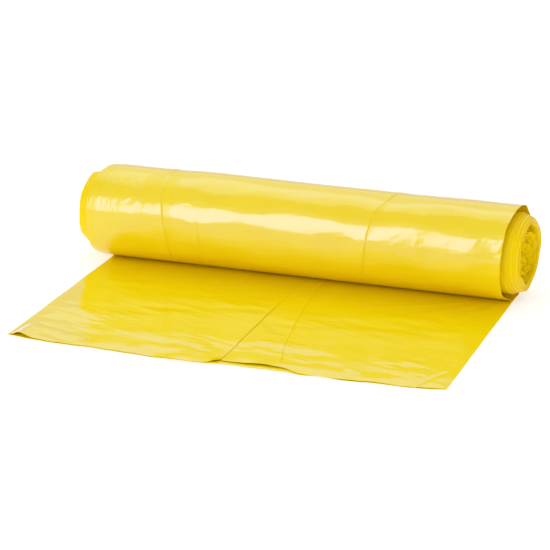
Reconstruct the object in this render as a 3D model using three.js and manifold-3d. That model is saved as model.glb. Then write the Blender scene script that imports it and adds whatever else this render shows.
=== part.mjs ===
// A coreless roll of garbage bags whose leading bag is pulled out flat in front of it.
// Millimetres. +X runs along the roll's axis, -Y points to the loose end of the leading bag, +Z is up.
// The origin is on the floor, straight under the roll's axis, at the middle of the flat bag's width.
import * as THREE from 'three';
import { mergeVertices } from 'three/addons/utils/BufferGeometryUtils.js';
import Module from 'manifold-3d';

const wasm = await Module();
wasm.setup();

// The web of bags: each bag's two sides are folded in, so that they meet at the middle.
const webWidth = 350;
const rollDiameter = 78;

// The leading bag: a flat flap, and its last turns, which wrap the roll.
const flapReach = 212;          // roll axis to the flap's front corners
const flapBack = 1.5;           // the flap ends this far behind the roll's lowest line
const frontBulge = 8;           // how far the middle of the front edge stands before its corners
const filmStack = 1.6;          // the flat bag's thickness, and the wrap's
const slitWidth = 0.8;          // between the two folded-in panels
const slitDepth = 0.8;
const slitBack = 60;            // roll axis to the slit's back end
const panelSetback = 5;         // the right panel stops this far behind the front edge
const panelSetbackWidth = 70;
const wrapDrift = -4.5;         // the wrap lies this far off the flap's middle
const wrapStep = 1;             // the wrap's inner turns stand out past its outer turn
const wrapSides = 64;

// The rolled bags inside the wrap. Their turns stand out at both ends, as a telescoped roll's do.
const wrapClearance = 0.3;
const coilSides = 48;
const rimStandout = 3;          // the outermost turns, past the wrap's inner turns
const crownStandoutRight = 14;  // the turns that stand out furthest, past the outermost ones
const crownStandoutLeft = 12.5;
const crownRadius = 27;
const mouthRadius = 24;         // edge of the crumpled dish round the core hole
const dishRadius = 12;
const dishDepth = 7;            // from the crown down to the floor of the dish
const turnBundles = 8;          // groups of turns that show on an end
const bundleGrooveWidth = 0.8;
const bundleGrooveDepth = 2.5;

// The hole that the winding mandrel left, pressed flat by the roll's weight and grip.
const coreHoleWidth = 7;
const coreHoleHeight = 16;

const rollRadius = rollDiameter / 2;
const wrapBoreRadius = rollRadius - filmStack;
const coilRadius = wrapBoreRadius - wrapClearance;
const axisHeight = rollRadius * Math.cos(Math.PI / wrapSides);   // a facet of the wrap lies on the floor
const wrapRight = webWidth / 2 + wrapDrift;
const wrapLeft = wrapRight - webWidth;
const coilRight = wrapRight + wrapStep;
const coilLeft = wrapLeft - wrapStep;
const cutMargin = 5;            // how far a cutting tool runs past what it cuts

// A closed solid from a geometry: positions only, shared vertices merged, no collapsed triangles.
function toSolid(geometry) {
  const bare = geometry.clone();
  bare.deleteAttribute('normal');
  bare.deleteAttribute('uv');
  const merged = mergeVertices(bare);
  const corners = merged.index.array;
  const triangles = [];
  for (let i = 0; i < corners.length; i += 3) {
    const [a, b, c] = [corners[i], corners[i + 1], corners[i + 2]];
    if (a !== b && b !== c && c !== a) triangles.push(a, b, c);
  }
  const vertProperties = new Float32Array(merged.attributes.position.array);
  const triVerts = new Uint32Array(triangles);
  return new wasm.Manifold(new wasm.Mesh({ numProp: 3, vertProperties, triVerts }));
}

function toGeometry(solid) {
  const mesh = solid.getMesh();
  const geometry = new THREE.BufferGeometry();
  geometry.setAttribute('position', new THREE.BufferAttribute(mesh.vertProperties, 3));
  geometry.setIndex(new THREE.BufferAttribute(mesh.triVerts, 1));
  geometry.computeVertexNormals();
  return geometry;
}

// A profile of [radius, x] points turned about the roll's axis.
function turned(profile, sides) {
  const points = profile.map(([radius, x]) => new THREE.Vector2(radius, x));
  const geometry = new THREE.LatheGeometry(points, sides, Math.PI / sides);
  geometry.rotateZ(-Math.PI / 2);
  geometry.translate(0, 0, axisHeight);
  return geometry;
}

function box(xLow, xHigh, yLow, yHigh, zLow, zHigh) {
  const geometry = new THREE.BoxGeometry(xHigh - xLow, yHigh - yLow, zHigh - zLow);
  geometry.translate((xLow + xHigh) / 2, (yLow + yHigh) / 2, (zLow + zHigh) / 2);
  return geometry;
}

function ease(t) {
  const s = Math.min(Math.max(t, 0), 1);
  return s * s * (3 - 2 * s);
}

// How far the turns at a radius stand out past the wrap: up from the rim to the crown, then down the dish.
function turnStandout(radius, crownStandout) {
  const climb = ease((coilRadius - radius) / (coilRadius - crownRadius));
  const fall = ease((mouthRadius - radius) / (mouthRadius - dishRadius));
  return rimStandout + crownStandout * climb - dishDepth * fall;
}

// One end of the coil from its rim in to the axis, as [radius, standout] points with a groove between bundles.
function endProfile(crownStandout) {
  const pitch = (coilRadius - dishRadius) / turnBundles;
  const facePoints = [];
  for (let bundle = 0; bundle < turnBundles; bundle += 1) {
    const outer = coilRadius - bundle * pitch;
    const inner = outer - pitch;
    const face = turnStandout((outer + inner) / 2, crownStandout);
    const innerFace = turnStandout(inner - pitch / 2, crownStandout);
    const outerEdge = bundle === 0 ? outer : outer - bundleGrooveWidth / 2;
    facePoints.push([outerEdge, face]);
    facePoints.push([inner + bundleGrooveWidth / 2, face]);
    facePoints.push([inner, Math.min(face, innerFace) - bundleGrooveDepth]);
  }
  const floor = turnStandout(0, crownStandout);
  facePoints.push([dishRadius - bundleGrooveWidth / 2, floor]);
  facePoints.push([0, floor]);
  return facePoints;
}

function coreHole() {
  const straight = (coreHoleHeight - coreHoleWidth) / 2;
  const outline = new THREE.Shape();
  outline.absarc(0, straight, coreHoleWidth / 2, 0, Math.PI, false);
  outline.absarc(0, -straight, coreHoleWidth / 2, Math.PI, 2 * Math.PI, false);
  const length = coilRight - coilLeft + 2 * (rimStandout + crownStandoutRight + crownStandoutLeft);
  const geometry = new THREE.ExtrudeGeometry(outline, { depth: length, bevelEnabled: false, curveSegments: 6 });
  geometry.translate(0, 0, -length / 2);
  geometry.rotateX(Math.PI / 2);
  geometry.rotateZ(Math.PI / 2);
  geometry.translate((coilLeft + coilRight) / 2, 0, axisHeight);
  return geometry;
}

function rolledBags() {
  const right = endProfile(crownStandoutRight).map(([radius, out]) => [radius, coilRight + out]);
  const left = endProfile(crownStandoutLeft).map(([radius, out]) => [radius, coilLeft - out]);
  const profile = [...left.reverse(), ...right];
  return toSolid(turned(profile, coilSides)).subtract(toSolid(coreHole()));
}

// The leading bag's last turns: a sleeve whose ends step out once, where the inner turns show.
function wrap() {
  const middle = rollRadius - filmStack / 2;
  const profile = [
    [wrapBoreRadius, wrapLeft - wrapStep],
    [middle, wrapLeft - wrapStep],
    [middle, wrapLeft],
    [rollRadius, wrapLeft],
    [rollRadius, wrapRight],
    [middle, wrapRight],
    [middle, wrapRight + wrapStep],
    [wrapBoreRadius, wrapRight + wrapStep],
    [wrapBoreRadius, wrapLeft - wrapStep],
  ];
  return toSolid(turned(profile, wrapSides));
}

// The flap's section across the web: a flat stack of film with a round fold along each side.
function flapStack() {
  const foldRadius = filmStack / 2;
  const foldCentre = webWidth / 2 - foldRadius;
  const section = new THREE.Shape();
  section.absarc(foldCentre, foldRadius, foldRadius, -Math.PI / 2, Math.PI / 2, false);
  section.absarc(-foldCentre, foldRadius, foldRadius, Math.PI / 2, 1.5 * Math.PI, false);
  const depth = flapBack + flapReach + frontBulge;
  const geometry = new THREE.ExtrudeGeometry(section, { depth, bevelEnabled: false, curveSegments: 4 });
  geometry.rotateX(Math.PI / 2);
  geometry.translate(0, flapBack, 0);
  return geometry;
}

// The flap's outline from above: square corners and a front edge that bows out at the middle.
function flapPlan() {
  const side = webWidth / 2 + cutMargin;
  const bow = 2 * frontBulge;
  const outline = new THREE.Shape();
  outline.moveTo(side, cutMargin);
  outline.lineTo(-side, cutMargin);
  outline.lineTo(-side, -flapReach);
  outline.quadraticCurveTo(0, -flapReach - bow, side, -flapReach);
  const depth = filmStack + 2 * cutMargin;
  const geometry = new THREE.ExtrudeGeometry(outline, { depth, bevelEnabled: false, curveSegments: 14 });
  geometry.translate(0, 0, -cutMargin);
  return geometry;
}

function flap() {
  const front = -flapReach - frontBulge - cutMargin;
  const top = filmStack + cutMargin;
  const slit = box(-slitWidth / 2, slitWidth / 2, front, -slitBack, filmStack - slitDepth, top);
  const setbackBack = -flapReach - frontBulge + panelSetback;
  const setback = box(0, panelSetbackWidth, front, setbackBack, filmStack - slitDepth, top);
  return toSolid(flapStack())
    .intersect(toSolid(flapPlan()))
    .subtract(toSolid(slit))
    .subtract(toSolid(setback));
}

// The flap runs in under the wrap's lowest facet, level with it. Nothing of it reaches into the wrap's bore.
function leadingBag() {
  const boreEnd = webWidth / 2 + cutMargin;
  const boreProfile = [[0, -boreEnd], [wrapBoreRadius, -boreEnd], [wrapBoreRadius, boreEnd], [0, boreEnd]];
  const bore = toSolid(turned(boreProfile, wrapSides));
  return wrap().add(flap().subtract(bore));
}

function film(name, solid, colour) {
  const material = new THREE.MeshStandardMaterial({ color: colour, roughness: 0.22, metalness: 0 });
  const mesh = new THREE.Mesh(toGeometry(solid), material);
  mesh.name = name;
  return mesh;
}

const bagRoll = new THREE.Group();
bagRoll.add(film('rolled_bags', rolledBags(), 0xf0cb0a));
bagRoll.add(film('leading_bag', leadingBag(), 0xf2d532));

export default bagRoll;
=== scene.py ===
import math

import bpy
import numpy as np
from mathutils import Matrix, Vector


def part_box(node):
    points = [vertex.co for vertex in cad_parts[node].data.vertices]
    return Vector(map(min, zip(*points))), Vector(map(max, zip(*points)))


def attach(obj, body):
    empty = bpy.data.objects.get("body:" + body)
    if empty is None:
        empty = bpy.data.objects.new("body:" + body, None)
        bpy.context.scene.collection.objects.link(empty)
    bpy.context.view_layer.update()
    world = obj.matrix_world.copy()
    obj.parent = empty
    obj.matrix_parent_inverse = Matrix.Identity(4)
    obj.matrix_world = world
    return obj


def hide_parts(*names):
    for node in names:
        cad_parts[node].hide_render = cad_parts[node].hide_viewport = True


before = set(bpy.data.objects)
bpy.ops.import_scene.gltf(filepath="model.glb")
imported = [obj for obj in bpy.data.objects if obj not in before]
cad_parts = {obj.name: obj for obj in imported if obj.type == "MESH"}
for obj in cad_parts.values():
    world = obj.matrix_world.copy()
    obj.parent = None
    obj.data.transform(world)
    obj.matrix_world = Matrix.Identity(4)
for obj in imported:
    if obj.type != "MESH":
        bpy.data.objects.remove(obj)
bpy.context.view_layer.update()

# Sizes are in millimetres, in the model's own frame: +X along the roll's axis, -Y to the loose end of the
# leading bag, +Z up. Turns are counted as the film winds in, from the roll's lowest line up the back.
MM = 0.001

# The roll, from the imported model, and the folded web of bags.
ROLL_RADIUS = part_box("leading_bag")[1][2] / MM / 2
AXIS_HEIGHT = ROLL_RADIUS
WEB_HALF = 175.0                 # half the folded bag's width
FLAP_REACH = 213.0               # roll axis to the flap's front corners

# The film, as stacks of layers that lie on each other.
PANEL_THICKNESS = 0.18           # two layers
PANEL_GAP = 0.12                 # between the lower panel and the panels folded onto it
PANEL_RISE = PANEL_THICKNESS + PANEL_GAP
WRAP_TURNS = 10                  # the leading bag's turns round the roll and the next bags' outermost ones
WRAP_PITCH = 0.18
WRAP_THICKNESS = 0.15
COIL_RADIUS = 37.1
COIL_PITCH = 0.8
COIL_THICKNESS = 0.62
CORE_RADIUS = 24.3               # inside it the turns are loose and crumpled
CORE_INNER_RADIUS = 1.8
CORE_PITCH = 1.6
CORE_THICKNESS = 0.36

# The camera of the photograph.
CAMERA_AZIMUTH = math.radians(19.53)
CAMERA_ELEVATION = math.radians(19.04)
CAMERA_DISTANCE = 1842
CAMERA_TARGET = (-27.8, -10.3, 0)
CAMERA_LENS = 144.46
SENSOR_WIDTH = 36


# Helpers for smooth fields and stations

STEP_EASE = 0.25                 # over how much radius a step is softened

# A crease's strength along its length: the spacing of its strong parts, against the creases' own.
CREASE_SPACING_U = 0.7
CREASE_SPACING_V = 2
CREASE_CONTRAST = 0.7
CREASE_LEVEL = 0.35


def ease(t):
    """From 0 to 1 as t goes from 0 to 1, level at both ends and beyond them."""
    t = np.clip(t, 0, 1)
    return t * t * (3 - 2 * t)


def rise(value, start, length):
    """From 0 at start to 1 a length beyond it. A negative length runs the other way."""
    return ease((value - start) / length)


def bell(value, centre, width):
    """1 at the centre, and next to nothing two widths away from it."""
    return np.exp(-((value - centre) / width) ** 2)


def stations(table, value):
    """The value along a list of [position, value] stations, eased between them."""
    spots = np.array([spot for spot, _ in table], dtype=float)
    heights = np.array([height for _, height in table], dtype=float)
    value = np.asarray(value, dtype=float)
    cell = np.clip(np.searchsorted(spots, value) - 1, 0, len(spots) - 2)
    t = np.clip((value - spots[cell]) / (spots[cell + 1] - spots[cell]), 0, 1)
    slopes = np.gradient(heights, spots)
    span = spots[cell + 1] - spots[cell]
    start, end = heights[cell], heights[cell + 1]
    return ((1 + 2 * t) * (1 - t) ** 2 * start + t * (1 - t) ** 2 * span * slopes[cell]
            + t * t * (3 - 2 * t) * end + t * t * (t - 1) * span * slopes[cell + 1])


def steps(table, radius):
    """The value along a list of [outer limit, value] steps, with each change a little softened."""
    value = np.full(np.shape(radius), float(table[0][1]))
    for (limit, level), (_, following) in zip(table, table[1:]):
        value += (following - level) * ease((radius - limit) / STEP_EASE + 0.5)
    return value


def packed_columns(marks, counts, edge_gaps, line_gaps):
    """Positions from the first mark to the last, packed close beside each mark.

    marks holds one array for each mark, with one value for each row. The gaps are distances from a mark.
    """
    blocks = []
    for index, (low, high, count) in enumerate(zip(marks, marks[1:], counts)):
        near = np.array(edge_gaps if index == 0 else line_gaps)
        far = np.array(edge_gaps if index == len(counts) - 1 else line_gaps)
        first = low[:, None] + near
        last = high[:, None] - far[::-1]
        fractions = np.linspace(0, 1, count + 2)[1:-1]
        middle = first[:, -1:] + (last[:, :1] - first[:, -1:]) * fractions
        blocks += [first, middle, last] if index == 0 else [low[:, None], first, middle, last]
    return np.concatenate(blocks, axis=1)


def spread(left, right, fractions):
    """Positions at fractions of the way from left to right, for each row."""
    return left[:, None] + (right - left)[:, None] * np.array(fractions)


def ripples(seed, length_u, length_v, waves=14):
    """A smooth random field of unit spread, with features about length_u by length_v millimetres."""
    rng = np.random.default_rng(seed)
    ku = rng.normal(0, 1, waves) * math.tau / length_u
    kv = rng.normal(0, 1, waves) * math.tau / length_v
    phase = rng.uniform(0, math.tau, waves)

    def field(u, v):
        total = np.zeros(np.broadcast(u, v).shape)
        for a, b, c in zip(ku, kv, phase):
            total += np.sin(a * u + b * v + c)
        return total * math.sqrt(2 / waves)

    return field


def creases(seed, length_u, length_v, sharpness):
    """Long narrow ridges between 0 and 1, that follow the zero lines of a smooth field."""
    line = ripples(seed, length_u, length_v)
    strength = ripples(seed + 1, length_u * CREASE_SPACING_U, length_v * CREASE_SPACING_V)

    def field(u, v):
        ridge = np.exp(-(line(u, v) * sharpness) ** 2)
        return ridge * ease(strength(u, v) * CREASE_CONTRAST + CREASE_LEVEL)

    return field


def pressed_groove(off_line, depth, width):
    """A narrow groove along a line."""
    return -depth * bell(off_line, 0, width)


def pressed_step(off_line, height, width, fade):
    """A step down across a line, as high on one side as it is deep on the other, that fades out sideways."""
    return -height * np.tanh(off_line / width) * bell(off_line, 0, fade)


def turning_waves(table, angle, radius):
    """A sum of waves round the axis, from rows of [height, waves in a turn, phase, twist with the radius]."""
    total = 0
    for height, count, phase, twist in table:
        total = total + height * np.sin(count * angle + phase + twist * radius)
    return total


# Mesh making

NOSE_ANGLES = np.radians([0, 30, 60])


def add_piece(name, points, faces, material, slot):
    """A mesh object from points in millimetres and lists of faces with three or four corners each."""
    corner_list = np.concatenate([group.ravel() for group in faces]).astype(np.int32)
    sizes = np.concatenate([np.full(len(group), group.shape[1]) for group in faces])
    starts = np.concatenate([[0], np.cumsum(sizes)[:-1]]).astype(np.int32)
    mesh = bpy.data.meshes.new(name)
    mesh.vertices.add(len(points))
    mesh.vertices.foreach_set("co", (points * MM).astype(np.float32).ravel())
    mesh.loops.add(len(corner_list))
    mesh.loops.foreach_set("vertex_index", corner_list)
    mesh.polygons.add(len(starts))
    mesh.polygons.foreach_set("loop_start", starts)
    mesh.update(calc_edges=True)
    mesh.validate()
    mesh.shade_smooth()
    piece = bpy.data.objects.new(name, mesh)
    bpy.context.collection.objects.link(piece)
    mesh.materials.append(material)
    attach(piece, "root")
    return piece


def grid_faces(first, second, third, fourth):
    """Four-cornered faces from four equal grids of corner numbers."""
    return np.stack([first, second, third, fourth], axis=-1).reshape(-1, 4)


def grid_normals(grid):
    """Unit normals of a grid of points: rows, columns, xyz."""
    along = np.gradient(grid, axis=0)
    across = np.gradient(grid, axis=1)
    normals = np.cross(across, along)
    return normals / np.linalg.norm(normals, axis=2, keepdims=True)


def thick_sheet(grid, thickness):
    """A closed solid from a grid of points on a sheet's middle: its points and faces."""
    rows, columns, _ = grid.shape
    offset = grid_normals(grid) * thickness / 2
    points = np.concatenate([(grid + offset).reshape(-1, 3), (grid - offset).reshape(-1, 3)])
    front = np.arange(rows * columns).reshape(rows, columns)
    back = front + rows * columns
    faces = [
        grid_faces(front[:-1, :-1], front[:-1, 1:], front[1:, 1:], front[1:, :-1]),
        grid_faces(back[:-1, :-1], back[1:, :-1], back[1:, 1:], back[:-1, 1:]),
    ]
    rim = np.concatenate([front[0, :], front[1:, -1], front[-1, -2::-1], front[-2:0:-1, 0]])
    rim_back = rim + rows * columns
    faces.append(grid_faces(np.roll(rim, -1), rim, rim_back, np.roll(rim_back, -1)))
    return points, faces


def wound_band(angle, radius, left, right, thickness, middle, lift=None, jog=None):
    """A closed band wound about the roll's axis, with a round nose along each edge.

    angle, radius, left and right have one value for each row, and middle has a row of x positions between the
    noses. lift(x, angle) moves a point outwards, and jog(radius, angle) gives its y and its height.
    """
    nose = thickness / 2
    nose_x = nose * (1 - np.cos(NOSE_ANGLES))
    nose_height = nose * np.sin(NOSE_ANGLES)
    inset = np.concatenate([nose_x, [nose]])
    x = np.concatenate([left[:, None] + inset, middle, right[:, None] - inset[::-1]], axis=1)
    height = np.concatenate([nose_height, np.full(middle.shape[1] + 2, nose), nose_height[::-1]])
    rows, count = x.shape
    angles = np.repeat(angle[:, None], count, axis=1)
    shift = lift(x, angles) if lift else np.zeros_like(x)
    sides = []
    for sign in (1, -1):
        r = radius[:, None] + sign * height[None, :] + shift
        y, z = (r * np.sin(angles), -r * np.cos(angles)) if jog is None else jog(r, angles)
        sides.append(np.stack([x, y, z + AXIS_HEIGHT], axis=-1))
    outer = np.arange(rows * count).reshape(rows, count)
    inner = outer.copy()
    inner[:, 1:-1] = rows * count + np.arange(rows * (count - 2)).reshape(rows, count - 2)
    points = np.concatenate([sides[0].reshape(-1, 3), sides[1][:, 1:-1].reshape(-1, 3)])
    faces = [
        grid_faces(outer[:-1, :-1], outer[:-1, 1:], outer[1:, 1:], outer[1:, :-1]),
        grid_faces(inner[:-1, :-1], inner[1:, :-1], inner[1:, 1:], inner[:-1, 1:]),
    ]
    faces += band_end(outer[0], inner[0], first=True)
    faces += band_end(outer[-1], inner[-1], first=False)
    return points, faces


def band_end(outer_row, inner_row, first):
    """The faces that close a band's first or last row, with a triangle in each nose."""
    turn = 1 if first else -1
    out, into = outer_row[1:-1][::turn], inner_row[1:-1][::turn]
    faces = [grid_faces(out[:-1], into[:-1], into[1:], out[1:])]
    for end, beside, order in ((0, 1, turn), (-1, -2, -turn)):
        tip = [outer_row[end], outer_row[beside], inner_row[beside]]
        faces.append(np.array([tip[::order]]))
    return faces


# The films: one saturated yellow polyethylene, mottled at random and differing from place to place in gloss
# and draw lines. The flap, turn and core yellows are lighter copies of it, with painted light in them.

FILM_YELLOW = (0.868, 0.608, 0.004)
# painted light: a lighter copy of the film yellow, which brightens the whole flap against the shade next to
# the roll
FLAP_YELLOW_WITH_PAINTED_LIGHT = (0.91, 0.655, 0.004)
# painted light: a lighter copy of the film yellow, which brightens the turns' ends at the roll's two ends
TURN_YELLOW_WITH_PAINTED_LIGHT = (0.91, 0.62, 0.004)
# painted light: a still lighter copy of the film yellow, which brightens the shade in the crumpled core
CORE_YELLOW_WITH_PAINTED_LIGHT = (0.96, 0.69, 0.005)
FILM_IOR = 1.51
MOTTLE_SCALE = 38                # patches in a metre
MOTTLE_DETAIL = 5
MOTTLE_LOW = 0.3                 # where the noise is at its darkest
MOTTLE_HIGH = 0.7
MOTTLE_SHADE = (0.97, 0.955, 0.8)   # the dark patches' share of the red, green and blue
GLOSSY_SHARE = 0.8               # the roughness of the glossiest patches, as a share
HAZY_SHARE = 1.25
STREAK_DETAIL = 6
STREAK_DEPTH = 0.0004            # metres

# The wrap's draw lines are strong at the roll's left end, where the edges of the turns beneath show through.
WRAP_STREAKS = 0.16
RING_STREAKS = 1.0
RING_START = -0.146              # metres along the roll
RING_FULL = -0.172


def film(name, base, roughness, gloss, streak_scale, streaks):
    """Glossy film with slight mottling and with fine draw lines, stretched along the web by streak_scale."""
    material = bpy.data.materials.new(name)
    material.use_nodes = True
    nodes, links = material.node_tree.nodes, material.node_tree.links
    shader = nodes["Principled BSDF"]
    shader.inputs["IOR"].default_value = FILM_IOR
    shader.inputs["Specular IOR Level"].default_value = gloss

    place = nodes.new("ShaderNodeTexCoord")
    mottle = nodes.new("ShaderNodeTexNoise")
    mottle.inputs["Scale"].default_value = MOTTLE_SCALE
    mottle.inputs["Detail"].default_value = MOTTLE_DETAIL
    links.new(place.outputs["Object"], mottle.inputs["Vector"])
    tint = nodes.new("ShaderNodeValToRGB")
    dark, light = tint.color_ramp.elements
    dark.position = MOTTLE_LOW
    dark.color = (*(channel * share for channel, share in zip(base, MOTTLE_SHADE)), 1)
    light.position = MOTTLE_HIGH
    light.color = (*base, 1)
    links.new(mottle.outputs["Fac"], tint.inputs["Fac"])
    links.new(tint.outputs["Color"], shader.inputs["Base Color"])

    haze = nodes.new("ShaderNodeMapRange")
    haze.inputs["To Min"].default_value = roughness * GLOSSY_SHARE
    haze.inputs["To Max"].default_value = roughness * HAZY_SHARE
    links.new(mottle.outputs["Fac"], haze.inputs["Value"])
    links.new(haze.outputs["Result"], shader.inputs["Roughness"])

    stretch = nodes.new("ShaderNodeMapping")
    stretch.inputs["Scale"].default_value = streak_scale
    links.new(place.outputs["Object"], stretch.inputs["Vector"])
    draw_lines = nodes.new("ShaderNodeTexNoise")
    draw_lines.inputs["Scale"].default_value = 1
    draw_lines.inputs["Detail"].default_value = STREAK_DETAIL
    links.new(stretch.outputs["Vector"], draw_lines.inputs["Vector"])
    bump = nodes.new("ShaderNodeBump")
    bump.inputs["Strength"].default_value = streaks
    bump.inputs["Distance"].default_value = STREAK_DEPTH
    links.new(draw_lines.outputs["Fac"], bump.inputs["Height"])
    links.new(bump.outputs["Normal"], shader.inputs["Normal"])
    return material


def strengthen_rings(material):
    """Make a film's draw lines stronger towards the roll's left end."""
    nodes, links = material.node_tree.nodes, material.node_tree.links
    place = nodes["Texture Coordinate"]
    split = nodes.new("ShaderNodeSeparateXYZ")
    links.new(place.outputs["Object"], split.inputs["Vector"])
    zone = nodes.new("ShaderNodeMapRange")
    zone.interpolation_type = "SMOOTHSTEP"
    zone.inputs["From Min"].default_value = RING_START
    zone.inputs["From Max"].default_value = RING_FULL
    zone.inputs["To Min"].default_value = WRAP_STREAKS
    zone.inputs["To Max"].default_value = RING_STREAKS
    links.new(split.outputs["X"], zone.inputs["Value"])
    links.new(zone.outputs["Result"], nodes["Bump"].inputs["Strength"])


# The flap, turn and core films get the lighter copies of the yellow, which paint light onto them.
flap_film = film("flap_film", FLAP_YELLOW_WITH_PAINTED_LIGHT, roughness=0.13, gloss=0.9,
                 streak_scale=(75, 125, 75), streaks=0.2)
wrap_film = film("wrap_film", FILM_YELLOW, roughness=0.16, gloss=0.9,
                 streak_scale=(420, 30, 30), streaks=WRAP_STREAKS)
inner_film = film("inner_film", FILM_YELLOW, roughness=0.2, gloss=0.7,
                  streak_scale=(700, 12, 12), streaks=0.6)
turn_film = film("turn_film", TURN_YELLOW_WITH_PAINTED_LIGHT, roughness=0.28, gloss=0.18,
                 streak_scale=(900, 90, 90), streaks=0.25)
core_film = film("core_film", CORE_YELLOW_WITH_PAINTED_LIGHT, roughness=0.3, gloss=0.2,
                 streak_scale=(300, 300, 300), streaks=0.3)
strengthen_rings(wrap_film)


# The wrap: the film's outermost turns

# Where the web's two edges lie as it winds in: [turns, x].
WRAP_RIGHT = [(0, 175), (0.38, 177.5), (0.5, 176.5), (0.62, 172.4), (0.75, 170.6), (1.0, 170.4), (2.0, 169.4),
              (5.0, 167.6), (10.0, 165.5)]
WRAP_LEFT = [(0, -175), (0.36, -174), (0.45, -170.5), (0.58, -174.5), (0.72, -178.4), (1.2, -179.6),
             (1.45, -176.5), (1.7, -180.4), (2.2, -180.6), (4.1, -182.6), (5.3, -184.4), (7.2, -185.4),
             (10.0, -187)]
EDGE_WANDER = 0.25               # how far the edges waver about those places

# Next to the floor the inner turns' right edges are pressed out. Lengths round the roll are in turns.
LOW_FLARE = 5.5
FLARE_TAPER = 0.35               # how much smaller it is with each turn inwards
FLARE_UNREST = 0.25
FLARE_WAVE = 9                   # radians of unrest in a turn
FLARE_SHIFT = 0.55               # puts the middle of the flare 0.95 turns from the lowest line
FLARE_WIDTH = 0.055

# At the top the turns' left edges are drawn in.
TOP_RECESS = 5
RECESS_PLACE = (0.46, 0.1)       # turns: the middle and the width

# Soft lines that the folds underneath press through the wrap: [degrees above the front, x].
LINE_A = [(-60, -113.2), (-21, -112.9), (0, -114.5), (19, -116.9), (34, -118.7), (51, -120), (73, -120.4),
          (200, -121)]
LINE_B = [(-60, 52.9), (-26, 56.4), (-4, 58.5), (13, 59.5), (28, 60.9), (47, 63.4), (65, 68.6), (92, 74.2),
          (200, 84)]
LINE_C = [(-60, -83.3), (-31, -83.3), (-10, -84.4), (9, -86.1), (24, -88.9), (60, -92), (200, -96)]

# Short wrinkles in the wrap: [x, degrees above the front, slant in degrees, half length, height].
WRAP_WRINKLES = [(-150, 33, 35, 5, 0.16), (-143, 27, 50, 4, 0.14), (-133, 31, -30, 6, 0.1),
                 (-96, 36, 20, 9, 0.14), (-84, 27, 38, 7, 0.12), (-70, 24, 12, 10, 0.12),
                 (-47, 40, 25, 8, 0.1), (-22, 33, 60, 9, 0.2), (-12, 44, 15, 14, 0.16),
                 (16, 22, 20, 9, 0.12), (38, 29, -25, 7, 0.1), (84, 24, 30, 8, 0.12),
                 (103, 30, 12, 12, 0.12), (122, 38, 40, 6, 0.1), (150, 26, 62, 7, 0.14),
                 (160, 40, 70, 6, 0.12), (161, 8, 76, 9, 0.12), (156, -14, 70, 8, 0.1)]
WRINKLE_BEND = 0.02
RIDGE_WIDTH = 1.1
VALLEY_SHARE = 0.6               # the depth of the valley beside a ridge, as a share of the ridge's height
VALLEY_OFFSET = 2
VALLEY_WIDTH = 1.4

# Zones are given to rise as [start, length], and places to bell as [centre, width].
LINES_LOW = (-75, 15)            # degrees above the front, where the pressed lines start
LINES_HIGH = (210, -25)
LINES_DEEPER = (42, 16)
LINE_C_FADE = (25, -30)
RECESS_START = (1, 0.6)          # turns
FLARE_START = (0.9, 0.1)
TOP = (60, 30)                   # degrees above the front
RIGHT_END = (140, 30)            # x
LEFT_END = (-140, -30)
RIM = (158, 10)
DENT_PLACE = (-20, 16)
BULGE_PLACE = (-80, 60)

# The film's unevenness, and where it is less.
BULGE_HEIGHT = 0.9               # where the left half of the roll is fullest
SAG_DEPTH = 0.42
SAG_LEVEL = 1.2                  # lifts the sags off the turn beneath, in their own depths
DENT_DEPTH = 0.28                # a shallow dent round the middle of the roll
CREASE_HEIGHT = 0.13
PUCKER_HEIGHT = 0.1              # at the right edge
LEFT_PUCKER = 0.6                # the left edge's puckers, as a share of the right edge's
WAVE_DEPTH = 0.07
RIM_CRINKLE_DEPTH = 0.05
RIM_CRINKLE_SQUEEZE = 2.2
CRINKLE_DEPTH = 0.021
FLOOR_FADE = 2.2                 # how soon the unevenness starts beside the floor
TOP_CALM = 0.6                   # the share of the unevenness that the top lacks
END_CALM = 0.6                   # the share of the sags and waves that the right end lacks

# The mesh's rows, its columns between the marks, and the distances of the columns packed beside a mark.
OUTER_ROWS = 190
OUTER_COLUMNS = [48, 8, 66, 48]
INNER_ROWS_IN_TURN = 80
INNER_COLUMNS = [14]
EDGE_GAPS = [0.3, 0.8, 1.6, 2.8, 4.4, 6.4, 8.6]
LINE_GAPS = [0.35, 0.75, 1.2, 1.9, 3]
INNER_EDGE_GAPS = [0.4, 1.2, 2.6, 5, 9]

wrap_sag = ripples(11, 130, 62)
wrap_wave = ripples(12, 48, 21)
wrap_crinkle = ripples(13, 17, 7)
wrap_crease = creases(15, 34, 15, sharpness=3.2)
edge_pucker = creases(14, 18, 9, sharpness=2.2)
left_edge_wander = ripples(21, 30, 30)
right_edge_wander = ripples(22, 30, 30)


def front_angle(angle):
    """Degrees above the roll's front, from the winding angle, which starts on the floor."""
    return 270 - np.degrees(angle) % 360


def press_lines(x, angle):
    """The grooves and steps that the folds underneath press through the film."""
    above = front_angle(angle)
    shown = rise(above, *LINES_LOW) * rise(above, *LINES_HIGH)
    on_top = rise(above, *LINES_DEEPER)
    off_a = x - stations(LINE_A, above)
    off_b = x - stations(LINE_B, above)
    off_c = x - stations(LINE_C, above)
    line_a = pressed_step(off_a, height=0.42, width=0.75, fade=8)
    line_a = line_a + pressed_groove(off_a, depth=0.2, width=0.8)
    line_a = line_a + pressed_groove(off_a, depth=0.5 * on_top, width=0.75)
    line_b = pressed_step(off_b, height=0.3, width=0.55, fade=7)
    line_b = line_b + pressed_groove(off_b, depth=0.3, width=0.5)
    line_b = line_b + pressed_groove(off_b, depth=0.4 * on_top, width=0.6)
    line_c = pressed_groove(off_c, depth=0.4, width=0.45) * rise(above, *LINE_C_FADE)
    return shown * (line_a + line_b + line_c)


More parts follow.
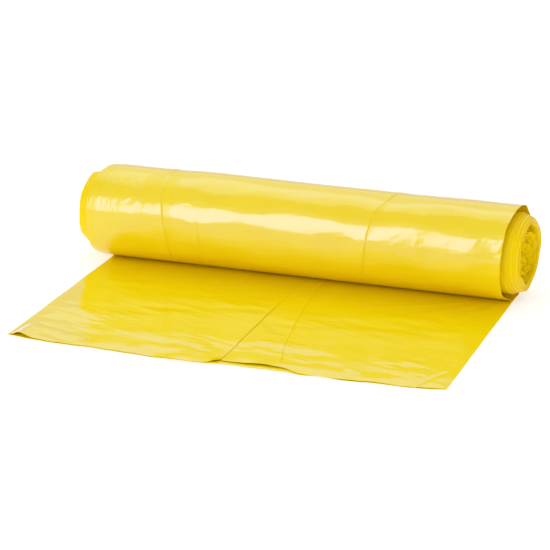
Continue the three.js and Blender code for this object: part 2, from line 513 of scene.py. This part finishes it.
def wrinkles(x, angle):
    """The short wrinkles: ridges with a valley beside each."""
    total = 0
    for wrinkle_x, degrees, slant, half_length, height in WRAP_WRINKLES:
        up = np.radians(front_angle(angle) - degrees) * ROLL_RADIUS
        turn = math.radians(slant)
        along = (x - wrinkle_x) * math.cos(turn) + up * math.sin(turn)
        across = up * math.cos(turn) - (x - wrinkle_x) * math.sin(turn) - WRINKLE_BEND * along ** 2
        section = bell(across, 0, RIDGE_WIDTH) - VALLEY_SHARE * bell(across, -VALLEY_OFFSET, VALLEY_WIDTH)
        total = total + height * bell(along, 0, half_length) * section
    return total


def wrap_lift(x, angle):
    """How far the film lies outside its smooth turn."""
    arc = (angle % math.tau) * ROLL_RADIUS
    off_floor = ease((1 + np.cos(angle - math.pi)) * FLOOR_FADE)
    right_end = rise(x, *RIGHT_END)
    left_end = rise(x, *LEFT_END)
    rim = rise(x, *RIM)
    top = rise(front_angle(angle), *TOP)
    dent = -DENT_DEPTH * bell(x, *DENT_PLACE)
    body = SAG_DEPTH * (wrap_sag(x, arc) + SAG_LEVEL) + WAVE_DEPTH * wrap_wave(x, arc) + dent
    bulge = BULGE_HEIGHT * bell(x, *BULGE_PLACE) * top
    fine = CRINKLE_DEPTH * wrap_crinkle(x, arc) + CREASE_HEIGHT * wrap_crease(x, arc)
    fine += PUCKER_HEIGHT * edge_pucker(x, arc) * (right_end + LEFT_PUCKER * left_end)
    fine += RIM_CRINKLE_DEPTH * wrap_crinkle(x * RIM_CRINKLE_SQUEEZE, arc) * rim
    calm = 1 - TOP_CALM * top
    body *= calm * (1 - END_CALM * right_end)
    return off_floor * (body + bulge + fine * calm + wrinkles(x, angle) + press_lines(x, angle))


def top_recess(turns):
    """How far the left edges are drawn in, greatest at the top."""
    return TOP_RECESS * bell(turns % 1, *RECESS_PLACE)


def low_flare(turns):
    """How far the right edges are pressed out, greatest next to the floor."""
    off_middle = (turns + FLARE_SHIFT) % 1 - 0.5
    reach = (LOW_FLARE - FLARE_TAPER * turns) * (1 + FLARE_UNREST * np.sin(FLARE_WAVE * turns))
    return reach * bell(off_middle, 0, FLARE_WIDTH)


def wrap_edges(turns):
    """The edges' x. The recess starts inside the outer turn, and the flare at its inner end."""
    arc = turns * math.tau * ROLL_RADIUS
    left = stations(WRAP_LEFT, turns) + EDGE_WANDER * left_edge_wander(arc, 0)
    left = left + top_recess(turns) * rise(turns, *RECESS_START)
    right = stations(WRAP_RIGHT, turns) + EDGE_WANDER * right_edge_wander(arc, 0)
    right = right + low_flare(turns) * rise(turns, *FLARE_START)
    return left, right


def wrap_radius(turns):
    """The radius of the film's middle."""
    return ROLL_RADIUS - WRAP_THICKNESS / 2 - WRAP_PITCH * turns


def outer_turn():
    """The turn that shows all over. Its columns follow the pressed lines."""
    turns = np.linspace(0, 1, OUTER_ROWS)
    angle = turns * math.tau
    left, right = wrap_edges(turns)
    above = front_angle(angle)
    marks = [left, stations(LINE_A, above), stations(LINE_C, above), stations(LINE_B, above), right]
    middle = packed_columns(marks, OUTER_COLUMNS, EDGE_GAPS, LINE_GAPS)
    return wound_band(angle, wrap_radius(turns), left, right, WRAP_THICKNESS, middle, lift=wrap_lift)


def inner_turns():
    """The turns under the outer one, which show only at the roll's two ends."""
    turns = np.linspace(1, WRAP_TURNS, (WRAP_TURNS - 1) * INNER_ROWS_IN_TURN)
    angle = turns * math.tau
    left, right = wrap_edges(turns)
    middle = packed_columns([left, right], INNER_COLUMNS, INNER_EDGE_GAPS, INNER_EDGE_GAPS)
    return wound_band(angle, wrap_radius(turns), left, right, WRAP_THICKNESS, middle, lift=wrap_lift)


wrap = add_piece("leading_bag_wrap", *outer_turn(), wrap_film, "yellow_film")
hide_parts("leading_bag")
wrap_inside = add_piece("leading_bag_inner_turns", *inner_turns(), inner_film, "yellow_film")
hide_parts("leading_bag")


# The coil: the rolled bags inside the wrap, with a loose core that is pressed flat

# Where the coil's turns end, in steps from the crown out to the rim: [outer radius, x].
COIL_RIGHT = [(29.7, 185.2), (30.5, 182.8), (31.2, 180.8), (32, 178.3), (33, 176), (37.2, 161)]
COIL_LEFT = [(29.6, -197), (30.4, -194.4), (32, -190.2), (34.4, -188.7), (37.2, -187.6)]
RIGHT_TILT = 0.085               # the right end stands out further at the back than in front
RIGHT_WANDER = 0.2
LEFT_WANDER = 0.25
FRAY = 0.1                       # the turns' fine unevenness at both ends
TILT_ZONE = (35.5, -4)           # zones by the radius, as [start, length]
RECESS_ZONE = (31, 3)
CORNER_ZONE = (36, -8)
MOUTH_ZONE = (29, -4)
COIL_ROWS_IN_TURN = 120
COIL_COLUMNS = [0.012, 0.03, 0.06, 0.1, 0.9, 0.94, 0.97, 0.988]   # shares of the way from left to right

# The slight corners of a soft roll: how far they stand out, by how many there are in a turn.
SIX_CORNERS = 0.6
FOUR_CORNERS = 0.35
SEVEN_MOUTH_CORNERS = 0.75

CORE_RIGHT = 180.6
CORE_LEFT = -189
# How the loose turns' edges sway, and how the turns buckle, as rows for turning_waves.
CORE_SWAY = [(1, 2, 0, 0.5), (0.9, 5, 0, 1.1), (0.5, 9, 0, 2.3)]
CORE_BUCKLES = [(1.3, 3, 0.4, -0.15), (1.2, 5, 1.3, 0.2), (0.8, 8, 0, 0.3)]
RIGHT_SWAY = 1.9
LEFT_SWAY = 0.8
CRUMPLED_ZONE = (CORE_RADIUS + 0.6, -10)
BUCKLE_ZONE = (0, 9)             # the buckles are lower round the axis
CORE_SQUEEZE = 0.3               # how much narrower than round the loose turns are
CORE_LEAN = 0.35                 # radians
# The voids that the loose turns leave: [y, height above the axis, half width, half height].
CORE_VOIDS = [(7, 11, 3, 4.6), (3, -2.4, 3.6, 6)]
VOID_FADE = 5                    # how far round a void its push reaches, in squares of its size
VOID_FLOOR = 1e-4                # keeps the middle of a void from a division by zero
CORE_ROWS_IN_TURN = 140
CORE_COLUMNS = [0.01, 0.04, 0.5, 0.96, 0.99]

coil_fray = ripples(41, 14, 14)
coil_left_wander = ripples(42, 70, 70)
coil_right_wander = ripples(43, 70, 70)


def corners(r, angle):
    """How far the slight corners of a soft roll lie off a circle, more so round the mouth."""
    outside = SIX_CORNERS * np.cos(6 * angle + 0.8) + FOUR_CORNERS * np.sin(4 * angle + 2.1)
    mouth = rise(r, *MOUTH_ZONE) * SEVEN_MOUTH_CORNERS * np.cos(7 * angle + 1.9)
    return rise(r, *CORNER_ZONE) * outside + mouth


def pressed_round(r, angle):
    """The coil's turns, with the corners that a soft roll gets from its own weight and grip."""
    bent = r + corners(r, angle)
    return bent * np.sin(angle), -bent * np.cos(angle)


def open_void(y, z, void):
    """Push points aside from a void's middle, further the closer they are to it."""
    void_y, void_z, half_width, half_height = void
    u = (y - void_y) / half_width
    v = (z - void_z) / half_height
    square = u * u + v * v + VOID_FLOOR
    push = np.sqrt(1 + np.exp(-square / VOID_FADE) / square)
    return void_y + (y - void_y) * push, void_z + (z - void_z) * push


def crumpled(r, angle):
    """The loose turns inside: pressed flat, leaning, and buckled into folds that leave voids."""
    inward = rise(r, *CRUMPLED_ZONE)
    buckle = turning_waves(CORE_BUCKLES, angle, r)
    bent = r + corners(r, angle) * (1 - inward) + inward * buckle * rise(r, *BUCKLE_ZONE)
    lean = CORE_LEAN * inward
    y = bent * np.sin(angle) * (1 - CORE_SQUEEZE * inward)
    z = -bent * np.cos(angle)
    y, z = y * np.cos(lean) - z * np.sin(lean), y * np.sin(lean) + z * np.cos(lean)
    for void in CORE_VOIDS:
        y, z = open_void(y, z, void)
    return y, z


def coil_band():
    """The firm turns, whose ends step out towards the crown."""
    turns_total = (COIL_RADIUS - CORE_RADIUS) / COIL_PITCH
    turns = np.linspace(0, turns_total, int(turns_total * COIL_ROWS_IN_TURN))
    angle = turns * math.tau
    radius = COIL_RADIUS - COIL_THICKNESS / 2 - COIL_PITCH * turns
    arc = np.cumsum(radius) * (angle[1] - angle[0])
    fray = FRAY * coil_fray(arc, 0)
    tilt = RIGHT_TILT * radius * np.sin(angle) * rise(radius, *TILT_ZONE)
    left = steps(COIL_LEFT, radius) + LEFT_WANDER * coil_left_wander(arc, 0) - fray
    left = left + top_recess(turns) * rise(radius, *RECESS_ZONE)
    right = steps(COIL_RIGHT, radius) + RIGHT_WANDER * coil_right_wander(arc, 0) + fray + tilt
    middle = spread(left, right, COIL_COLUMNS)
    return wound_band(angle, radius, left, right, COIL_THICKNESS, middle, jog=pressed_round)


def core_band():
    """The loose turns round the core hole."""
    turns_total = (CORE_RADIUS - CORE_INNER_RADIUS) / CORE_PITCH
    turns = np.linspace(0, turns_total, int(turns_total * CORE_ROWS_IN_TURN))
    angle = turns * math.tau
    radius = CORE_RADIUS - CORE_THICKNESS / 2 - CORE_PITCH * turns
    sway = turning_waves(CORE_SWAY, angle, radius)
    left = CORE_LEFT + LEFT_SWAY * sway
    right = CORE_RIGHT + RIGHT_SWAY * sway + RIGHT_TILT * radius * np.sin(angle)
    middle = spread(left, right, CORE_COLUMNS)
    return wound_band(angle, radius, left, right, CORE_THICKNESS, middle, jog=crumpled)


coil = add_piece("rolled_bag_turns", *coil_band(), turn_film, "yellow_film")
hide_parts("rolled_bags")
core = add_piece("rolled_bag_core", *core_band(), core_film, "yellow_film")
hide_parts("rolled_bags")


# The flap: the leading bag, flat, with both sides folded in to the middle

# The flap's front edges, as distances from the roll's axis: [x, distance].
LOWER_FRONT = [(-175, 214), (-150, 217), (-90, 219), (-30, 220.6), (-10, 220), (8, 216.5), (30, 217.4),
               (52, 216.4), (66, 217.8), (80, 215.6), (96, 217.3), (115, 216), (150, 214.3), (175, 210.5)]
LEFT_PANEL_FRONT = [(-175, 213), (-150, 216.5), (-90, 218.6), (-37, 220.6), (-16, 220.6), (-7, 218.6),
                    (-2, 214), (0, 212)]
RIGHT_PANEL_FRONT = [(0, 211.5), (8, 211.8), (20, 211.5), (40, 210.6), (52, 211.8), (62, 215.6), (72, 217.2),
                     (96, 217.4), (115, 216), (150, 214), (175, 210)]
FRONT_PULL = 14                  # a power: the higher it is, the fewer rows follow the front edge's shape

# The line pressed through the right panel: [y, x].
FLAP_LINE = [(-199, 43.5), (-195, 43), (-177, 38.2), (-160, 35), (-113, 27), (-78, 22.4), (-34, 17.9),
             (0, 17.5)]
FLAP_LINE_FADE = (208, -8)       # by the reach

# The slit where the two panels meet.
SLIT_HALF_GAP = 0.32
SLIT_BACK_SHARE = 0.1            # its gap next to the roll, as a share
SLIT_OPENING = (50, 60)          # where it opens to the full gap, by the reach
SLIT_DEPTH = 0.16                # how far the panels' edges lie down beside it
SLIT_WIDTH = 1.4
SLIT_REACH = (45, 40)

# The unevenness of the lower panel and of the panels on it, with its zones as [start, length]. They go by the
# reach, which is the distance from the roll's axis, or by x.
SWELL_HEIGHT = 0.25
SWELL_UNREST = 0.5
SWELL_REACH = (20, 60)
FRONT_LIFT = 0.3
FRONT_LIFT_REACH = (195, 22)
FOLD_SLANT = 0.5                 # how far the folds run to one side on their way to the front
FOLD_HEIGHT = 0.18
WRINKLE_HEIGHT = 0.08
CRINKLE_HEIGHT = 0.032
FLAP_CREASE_HEIGHT = 0.12
FOLD_SHARE = 0.75                # the folds' share of those heights
FOLD_UNREST = 0.35               # how much that share varies
LEFT_SURPLUS = 0.3               # what the front left has more
SURPLUS_REACH = (60, 60)
SURPLUS_X = (-40, -60)
FOLDS_REACH = (30, 70)
SIDE_ZONE = (WEB_HALF, -14)
LOOSE_LEVEL = 0.35               # how far the upper panels lie loose on the lower one
DEEPEST_FOLD = -0.1              # the upper panels go no lower, or they would cut into the lower one

# Places where the front edge stands up: the height, the place by x as [centre, width], and the zones.
LENS_HEIGHT = 2.5                # at the front left corner
LENS_PLACE = (-164, 8)
LENS_REACH = (150, 62)
LENS_X = (-175, 9)
RIGHT_LIFT = 0.95                # the right panel beside the slit
RIGHT_LIFT_PLACE = (34, 24)
RIGHT_LIFT_REACH = (185, 28)
RIGHT_LIFT_X = (0, 6)
LEFT_LIFT = 1.2                  # the left panel's corner at the slit
LEFT_LIFT_PLACE = (-2, 3.6)
LEFT_LIFT_REACH = (202, 14)

# The fold pressed across the front right corner.
CORNER_FOLD_DEPTH = 0.5
CORNER_FOLD_WIDTH = 2.2
CORNER_FOLD_SLANT = 0.42
CORNER_FOLD_START = (178, 150)   # x and reach
CORNER_FOLD_REACH = (172, 14)
CORNER_FOLD_X = (110, 25)

# Wrinkles that fan out from the roll's right end: [how fast they run sideways, height].
FAN_WRINKLES = [(0.35, 0.16), (0.75, 0.2), (1.3, 0.18)]
FAN_X = 173
FAN_BEND = 260                   # the reach at which a wrinkle runs sideways twice as far as a straight one
FAN_WIDTH = 1.6
FAN_WIDENING = 0.05
FAN_START = (8, 14)
FAN_END = (100, -60)

# Rows from the roll to the front edge, with the last ones packed close, and columns across the web.
FLAP_ROWS = 118
ROW_PACKING = 0.92
LAST_ROWS = [0.9965, 0.999, 1]
LEFT_COLUMNS = [116]
RIGHT_COLUMNS = [14, 92]
LOWER_COLUMNS = 90
SLIT_EDGE_GAPS = [0.15, 0.5, 1.1]
FOLD_ANGLES = np.radians([30, 60, 90, 120, 150])

flap_swell = ripples(51, 190, 90)
flap_fold = ripples(52, 110, 52)
flap_wrinkle = ripples(53, 34, 18)
flap_crinkle = ripples(54, 15, 8)
flap_crease = creases(55, 44, 26, sharpness=3.4)
front_wave = ripples(55, 60, 60)
flap_unrest = ripples(57, 120, 90)


def lower_height(x, y):
    """The middle of the lower panel above the floor."""
    reach = -y
    swell = SWELL_HEIGHT * rise(reach, *SWELL_REACH) * (1 + flap_swell(x, y) * SWELL_UNREST)
    front = FRONT_LIFT * rise(reach, *FRONT_LIFT_REACH) * (1 + front_wave(x, y))
    return PANEL_THICKNESS / 2 + np.maximum(swell + front, 0)


def panel_relief(x, y):
    """The soft folds, wrinkles and creases of the upper panels, which lie calm at the roll and the sides."""
    reach = -y
    slant = x + FOLD_SLANT * y
    folds = FOLD_HEIGHT * flap_fold(slant, y) + WRINKLE_HEIGHT * flap_wrinkle(slant, y)
    folds += CRINKLE_HEIGHT * flap_crinkle(x, y)
    folds += FLAP_CREASE_HEIGHT * flap_crease(slant, y)
    surplus = LEFT_SURPLUS * rise(x, *SURPLUS_X) * rise(reach, *SURPLUS_REACH)
    folds *= FOLD_SHARE + FOLD_UNREST * flap_unrest(x, y) + surplus
    off_sides = rise(np.abs(x), *SIDE_ZONE)
    relief = rise(reach, *FOLDS_REACH) * off_sides * (folds + LOOSE_LEVEL)
    return np.maximum(relief, DEEPEST_FOLD)


def fan_wrinkles(x, reach):
    """The wrinkles that fan out from the roll's right end."""
    shown = rise(reach, *FAN_START)
    total = 0
    for rate, height in FAN_WRINKLES:
        off_line = x - FAN_X + rate * reach * (1 + reach / FAN_BEND)
        ridge = bell(off_line, 0, FAN_WIDTH + FAN_WIDENING * reach)
        total = total + height * ridge * shown * rise(reach, *FAN_END)
    return total


def front_lifts(x, reach):
    """The places where the upper panels stand up at the front edge."""
    corner_lens = LENS_HEIGHT * bell(x, *LENS_PLACE) * rise(reach, *LENS_REACH) ** 2
    corner_lens = corner_lens * rise(x, *LENS_X)
    right_lift = RIGHT_LIFT * bell(x, *RIGHT_LIFT_PLACE) * rise(reach, *RIGHT_LIFT_REACH)
    right_lift = right_lift * rise(x, *RIGHT_LIFT_X)
    left_lift = LEFT_LIFT * bell(x, *LEFT_LIFT_PLACE) * rise(reach, *LEFT_LIFT_REACH)
    return corner_lens + right_lift + left_lift


def upper_rise(x, y):
    """How far the folded-in panels lie above the lower one."""
    reach = -y
    lifts = front_lifts(x, reach) + fan_wrinkles(x, reach)
    slit = pressed_groove(x, SLIT_DEPTH, SLIT_WIDTH) * rise(reach, *SLIT_REACH)
    off_line = x - stations(FLAP_LINE, y)
    line = pressed_groove(off_line, depth=0.4, width=0.42)
    line = line + pressed_step(off_line, height=0.12, width=0.5, fade=8)
    line = line * rise(reach, *FLAP_LINE_FADE)
    start_x, start_reach = CORNER_FOLD_START
    off_fold = x + CORNER_FOLD_SLANT * (reach - start_reach) - start_x
    corner_fold = pressed_groove(off_fold, CORNER_FOLD_DEPTH, CORNER_FOLD_WIDTH)
    corner_fold = corner_fold * rise(reach, *CORNER_FOLD_REACH) * rise(x, *CORNER_FOLD_X)
    return PANEL_RISE + panel_relief(x, y) + lifts + slit + line + corner_fold


def panel_row(x, share, front, upper):
    """One row of a panel's points, at a share of the way from the roll to its front edge."""
    y = -(FLAP_REACH * share + (stations(front, x) - FLAP_REACH) * share ** FRONT_PULL)
    z = lower_height(x, y) + (upper_rise(x, y) if upper else 0)
    return np.stack([x, y, z], axis=-1)


def fold_row(start, end, side):
    """The round fold that joins two panels' edges. side is -1 on the left and 1 on the right."""
    middle = (start + end) / 2
    half = (start - end) / 2
    arc = middle + half * np.cos(FOLD_ANGLES)[:, None]
    arc[:, 0] += side * PANEL_RISE / 2 * np.sin(FOLD_ANGLES)
    return arc


def flap_sheet():
    """The folded bag's middle surface: left panel, left fold, lower panel, right fold, right panel."""
    shares = np.linspace(0, 1, FLAP_ROWS) ** ROW_PACKING
    shares = np.concatenate([shares[:-1], LAST_ROWS])
    reach = FLAP_REACH * shares
    side = WEB_HALF - PANEL_RISE / 2
    sides = np.full(len(shares), side)
    slit_edge = SLIT_HALF_GAP * (SLIT_BACK_SHARE + (1 - SLIT_BACK_SHARE) * rise(reach, *SLIT_OPENING))
    line = stations(FLAP_LINE, -reach)
    left_columns = packed_columns([slit_edge, sides], LEFT_COLUMNS, SLIT_EDGE_GAPS, SLIT_EDGE_GAPS)
    right_columns = packed_columns([slit_edge, line, sides], RIGHT_COLUMNS, SLIT_EDGE_GAPS, LINE_GAPS)
    left_grid = -np.concatenate([slit_edge[:, None], left_columns, sides[:, None]], axis=1)
    right_grid = np.concatenate([slit_edge[:, None], right_columns, sides[:, None]], axis=1)
    lower_x = np.linspace(-side, side, LOWER_COLUMNS)
    rows = []
    for share, left_x, right_x in zip(shares, left_grid, right_grid[:, ::-1]):
        left = panel_row(left_x, share, LEFT_PANEL_FRONT, upper=True)
        lower = panel_row(lower_x, share, LOWER_FRONT, upper=False)
        right = panel_row(right_x, share, RIGHT_PANEL_FRONT, upper=True)
        left_fold = fold_row(left[-1], lower[0], -1)
        right_fold = fold_row(lower[-1], right[0], 1)
        rows.append(np.concatenate([left, left_fold, lower, right_fold, right]))
    return thick_sheet(np.array(rows), PANEL_THICKNESS)


flap = add_piece("leading_bag_flap", *flap_sheet(), flap_film, "yellow_film")
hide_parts("leading_bag")


# The floor and the lights, whose sizes and distances are in metres, and the camera

FLOOR_SIZE = 40
FLOOR_DROP = 0.0002              # keeps the floor clear of the flap's underside
FLOOR_WHITE = (0.94, 0.94, 0.94, 1)
FLOOR_ROUGHNESS = 0.9
FLOOR_GLOSS = 0.1
FLOOR_GLOW = 0.38
WHITE = (1, 1, 1, 1)
SKY_STRENGTH = 0.7

# The tone curves: [light, shown], for all channels and then for two of them.
TONE_CURVE = [(0.3, 0.3), (0.6, 0.6), (0.8, 0.785), (1.0, 0.905), (1.1, 0.955)]
WHITE_LEVEL = 1.17               # the light that is shown as white
GREEN_CURVE = [(0.15, 0.165), (0.3, 0.325), (0.47, 0.5), (0.62, 0.625), (0.75, 0.738), (0.88, 0.88)]
BLUE_CURVE = [(0.01, 0.004), (0.05, 0.034), (0.1, 0.084), (0.2, 0.2), (0.3, 0.4), (0.5, 0.61), (0.8, 0.82)]
GREEN = 1
BLUE = 2
ALL_CHANNELS = 3
BRIGHTEST_LIGHT = 2              # the curves' right end


def floor():
    """A white floor that glows a little, so that it fades into the white behind it."""
    bpy.ops.mesh.primitive_plane_add(size=FLOOR_SIZE, location=(0, 0, -FLOOR_DROP))
    plane = bpy.context.object
    plane.name = "floor"
    material = bpy.data.materials.new("floor_white")
    material.use_nodes = True
    shader = material.node_tree.nodes["Principled BSDF"]
    shader.inputs["Base Color"].default_value = FLOOR_WHITE
    shader.inputs["Roughness"].default_value = FLOOR_ROUGHNESS
    shader.inputs["Specular IOR Level"].default_value = FLOOR_GLOSS
    shader.inputs["Emission Color"].default_value = WHITE
    shader.inputs["Emission Strength"].default_value = FLOOR_GLOW
    plane.data.materials.append(material)


def direction_to(azimuth, elevation):
    """The direction to a light or the camera. Azimuth 0 is in front, and less than 0 is to the left."""
    return Vector((math.sin(azimuth) * math.cos(elevation),
                   -math.cos(azimuth) * math.cos(elevation),
                   math.sin(elevation)))


def panel_light(name, azimuth, elevation, distance, width, height, power):
    """A soft rectangular light that faces the object. The angles are in degrees and the power is in watts."""
    light = bpy.data.lights.new(name, "AREA")
    light.shape = "RECTANGLE"
    light.size = width
    light.size_y = height
    light.energy = power
    lamp = bpy.data.objects.new(name, light)
    direction = direction_to(math.radians(azimuth), math.radians(elevation))
    lamp.location = direction * distance
    lamp.rotation_euler = direction.to_track_quat("Z", "Y").to_euler()
    bpy.context.collection.objects.link(lamp)


def studio():
    """White surroundings, a soft light in front with a wider glow about it, one behind and one above."""
    world = bpy.data.worlds.new("studio")
    bpy.context.scene.world = world
    world.use_nodes = True
    background = world.node_tree.nodes["Background"]
    background.inputs["Color"].default_value = WHITE
    background.inputs["Strength"].default_value = SKY_STRENGTH
    panel_light("front_softbox", azimuth=-21, elevation=23.5, distance=2.6, width=1.0, height=1.6, power=18)
    panel_light("front_glow", azimuth=-24, elevation=27, distance=2.8, width=1.6, height=2.8, power=6)
    panel_light("back_panel", azimuth=205, elevation=44, distance=3.0, width=3.5, height=2.6, power=14)
    panel_light("top_panel", azimuth=180, elevation=70, distance=3.0, width=3.0, height=2.0, power=19)


def photo_camera():
    """The camera of the photograph, which looks down on the roll from the right."""
    camera = bpy.data.cameras.new("camera")
    camera.lens = CAMERA_LENS
    camera.sensor_width = SENSOR_WIDTH
    eye = bpy.data.objects.new("camera", camera)
    back = direction_to(CAMERA_AZIMUTH, CAMERA_ELEVATION)
    eye.location = (Vector(CAMERA_TARGET) + back * CAMERA_DISTANCE) * MM
    eye.rotation_euler = back.to_track_quat("Z", "Y").to_euler()
    bpy.context.collection.objects.link(eye)
    bpy.context.scene.camera = eye


def soft_shoulder():
    """A film-like tone curve: straight up to the mid tones, then a slow roll-off to white."""
    look = bpy.context.scene.view_settings
    look.view_transform = "Standard"
    look.use_curve_mapping = True
    mapping = look.curve_mapping
    mapping.clip_max_x = BRIGHTEST_LIGHT
    mapping.clip_max_y = 1
    mapping.curves[ALL_CHANNELS].points[-1].location = (WHITE_LEVEL, 1)
    for channel, table in ((ALL_CHANNELS, TONE_CURVE), (GREEN, GREEN_CURVE), (BLUE, BLUE_CURVE)):
        for light, shown in table:
            mapping.curves[channel].points.new(light, shown)
    mapping.update()


floor()
studio()
photo_camera()
soft_shoulder()
